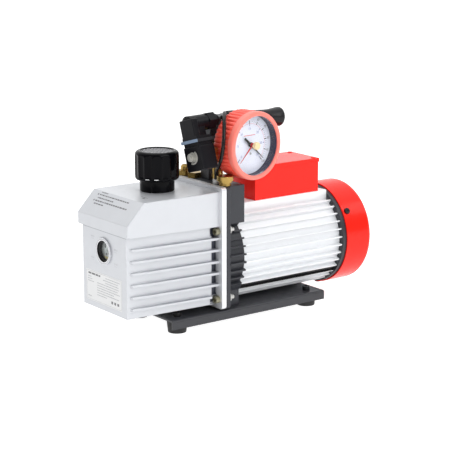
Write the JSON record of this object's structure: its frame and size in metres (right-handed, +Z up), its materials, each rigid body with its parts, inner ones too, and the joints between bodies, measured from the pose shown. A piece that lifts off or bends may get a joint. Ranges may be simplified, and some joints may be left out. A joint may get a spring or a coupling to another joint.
{
  "type": "rotary vane vacuum pump",
  "caption": "Portable two-stage rotary vane vacuum pump with finned motor, oil casing, gauge, solenoid valve, handle and channel base.",
  "frame": {"origin": "on the floor under the middle of the whole pump", "axes": "+X along the shaft from the oil casing to the fan cover, +Y to the side away from the gauge, +Z up"},
  "size_m": [0.3956, 0.145, 0.2794],
  "materials": {
    "base_black": "satin black powder coat",
    "rubber_black": "matt",
    "bolt_black": "black oxide",
    "casing_silver": "satin silver, cast",
    "gasket_paper": "matt",
    "zinc": "zinc plated",
    "bezel": "turned",
    "clear": "clear",
    "cap_black": "gloss",
    "brass": "turned",
    "bracket_black": "satin black on cast metal",
    "pump_iron": "ground",
    "spring_steel": "bright",
    "vane_carbon": "fibre composite",
    "motor_white": "satin pale silver",
    "core_steel": "laminated",
    "copper": "enamelled copper",
    "fan_plastic": "matt",
    "red_paint": "gloss red",
    "capacitor_white": "gloss",
    "black_plastic": "satin",
    "switch_red": "gloss",
    "gasket_blue": "matt",
    "lead_black": "satin sheath",
    "white_plastic": "matt",
    "grip_rubber": "satin",
    "boot_coral": "soft matt",
    "case_steel": "satin",
    "dial_white": "matt white",
    "pointer_black": "matt",
    "pointer_red": "matt"
  },
  "bodies": {
    "frame": {"base_plate": "base_black", "rubber_feet": "rubber_black", "shaft_seal": "rubber_black", "base_bolts": "bolt_black", "long_screws": "bolt_black", "cover_screws": "bolt_black", "oil_casing": "casing_silver", "casing_gasket": "gasket_paper", "casing_bolts": "zinc", "coil_nut": "zinc", "armature_tube": "zinc", "sight_bezel": "bezel", "sight_glass": "clear", "gauge_glass": "clear", "oil_neck": "cap_black", "drain_plug": "brass", "intake_ports": "brass", "valve_body": "brass", "motor_bracket": "bracket_black", "rear_shield": "bracket_black", "handle_arm": "bracket_black", "first_stage": "pump_iron", "second_stage": "pump_iron", "centre_plate": "pump_iron", "exhaust_valves": "spring_steel", "bearing_outer_rings": "spring_steel", "plunger_spring": "spring_steel", "motor_housing": "motor_white", "stator_core": "core_steel", "stator_windings": "copper", "fan_cover": "red_paint", "terminal_box": "red_paint", "terminal_lid": "red_paint", "run_capacitor": "capacitor_white", "power_module": "black_plastic", "solenoid_coil": "black_plastic", "connector": "black_plastic", "gland_nut": "black_plastic", "connector_gasket": "gasket_blue", "solenoid_lead": "lead_black", "lead_bushing": "white_plastic", "handle_grip": "grip_rubber", "gauge_boot": "boot_coral", "gauge_case": "case_steel", "gauge_dial": "dial_white"},
    "rotor": {"first_rotor": "pump_iron", "second_rotor": "pump_iron", "vanes": "vane_carbon", "vane_springs": "spring_steel", "motor_shaft": "spring_steel", "rotor_core": "core_steel", "bearing_inner_rings": "spring_steel", "cooling_fan": "fan_plastic"},
    "balls": {"bearing_balls": "spring_steel"},
    "oil_cap": {"oil_cap": "cap_black"},
    "dust_cap": {"intake_cap": "brass"},
    "rocker": {"switch_rocker": "switch_red"},
    "plunger": {"plunger": "spring_steel"},
    "needle": {"gauge_pointer": "pointer_black"},
    "set_hand": {"set_pointer": "pointer_red"}
  },
  "joints": [
    {"name": "rotor_spin", "type": "hinge", "parent": "frame", "child": "rotor", "pos_m": [-0.0668, 0.002, 0.0868], "axis": [1, 0, 0], "continuous": true},
    {"name": "ball_roll", "type": "hinge", "parent": "frame", "child": "balls", "pos_m": [-0.0148, 0.002, 0.0868], "axis": [1, 0, 0], "continuous": true},
    {"name": "oil_cap_turn", "type": "hinge", "parent": "frame", "child": "oil_cap", "pos_m": [-0.1125, 0.002, 0.214], "axis": [0, 0, 1], "range_deg": [0, 720]},
    {"name": "dust_cap_turn", "type": "hinge", "parent": "frame", "child": "dust_cap", "pos_m": [-0.0403, -0.048, 0.19], "axis": [0, 0, 1], "range_deg": [0, 1080]},
    {"name": "switch_tilt", "type": "hinge", "parent": "frame", "child": "rocker", "pos_m": [0.1102, 0.0312, 0.176], "axis": [1, 0, 0], "range_deg": [0, 14]},
    {"name": "plunger_lift", "type": "slide", "parent": "frame", "child": "plunger", "axis": [-0.9914, -0.1305, 0], "range_m": [0, 0.003], "stiffness_N_per_m": 120, "springref_m": -0.004, "deforming": ["plunger_spring"]},
    {"name": "needle_turn", "type": "hinge", "parent": "frame", "child": "needle", "pos_m": [-0.00419, -0.0551, 0.2346], "axis": [-0.1305, 0.9914, 0], "range_deg": [0, 270]},
    {"name": "set_hand_turn", "type": "hinge", "parent": "frame", "child": "set_hand", "pos_m": [-0.00419, -0.0551, 0.2346], "axis": [-0.1305, 0.9914, 0], "range_deg": [0, 300]}
  ],
  "couplings": [
    {"joint": "ball_roll", "follows": "rotor_spin", "ratio": 0.38121}
  ]
}
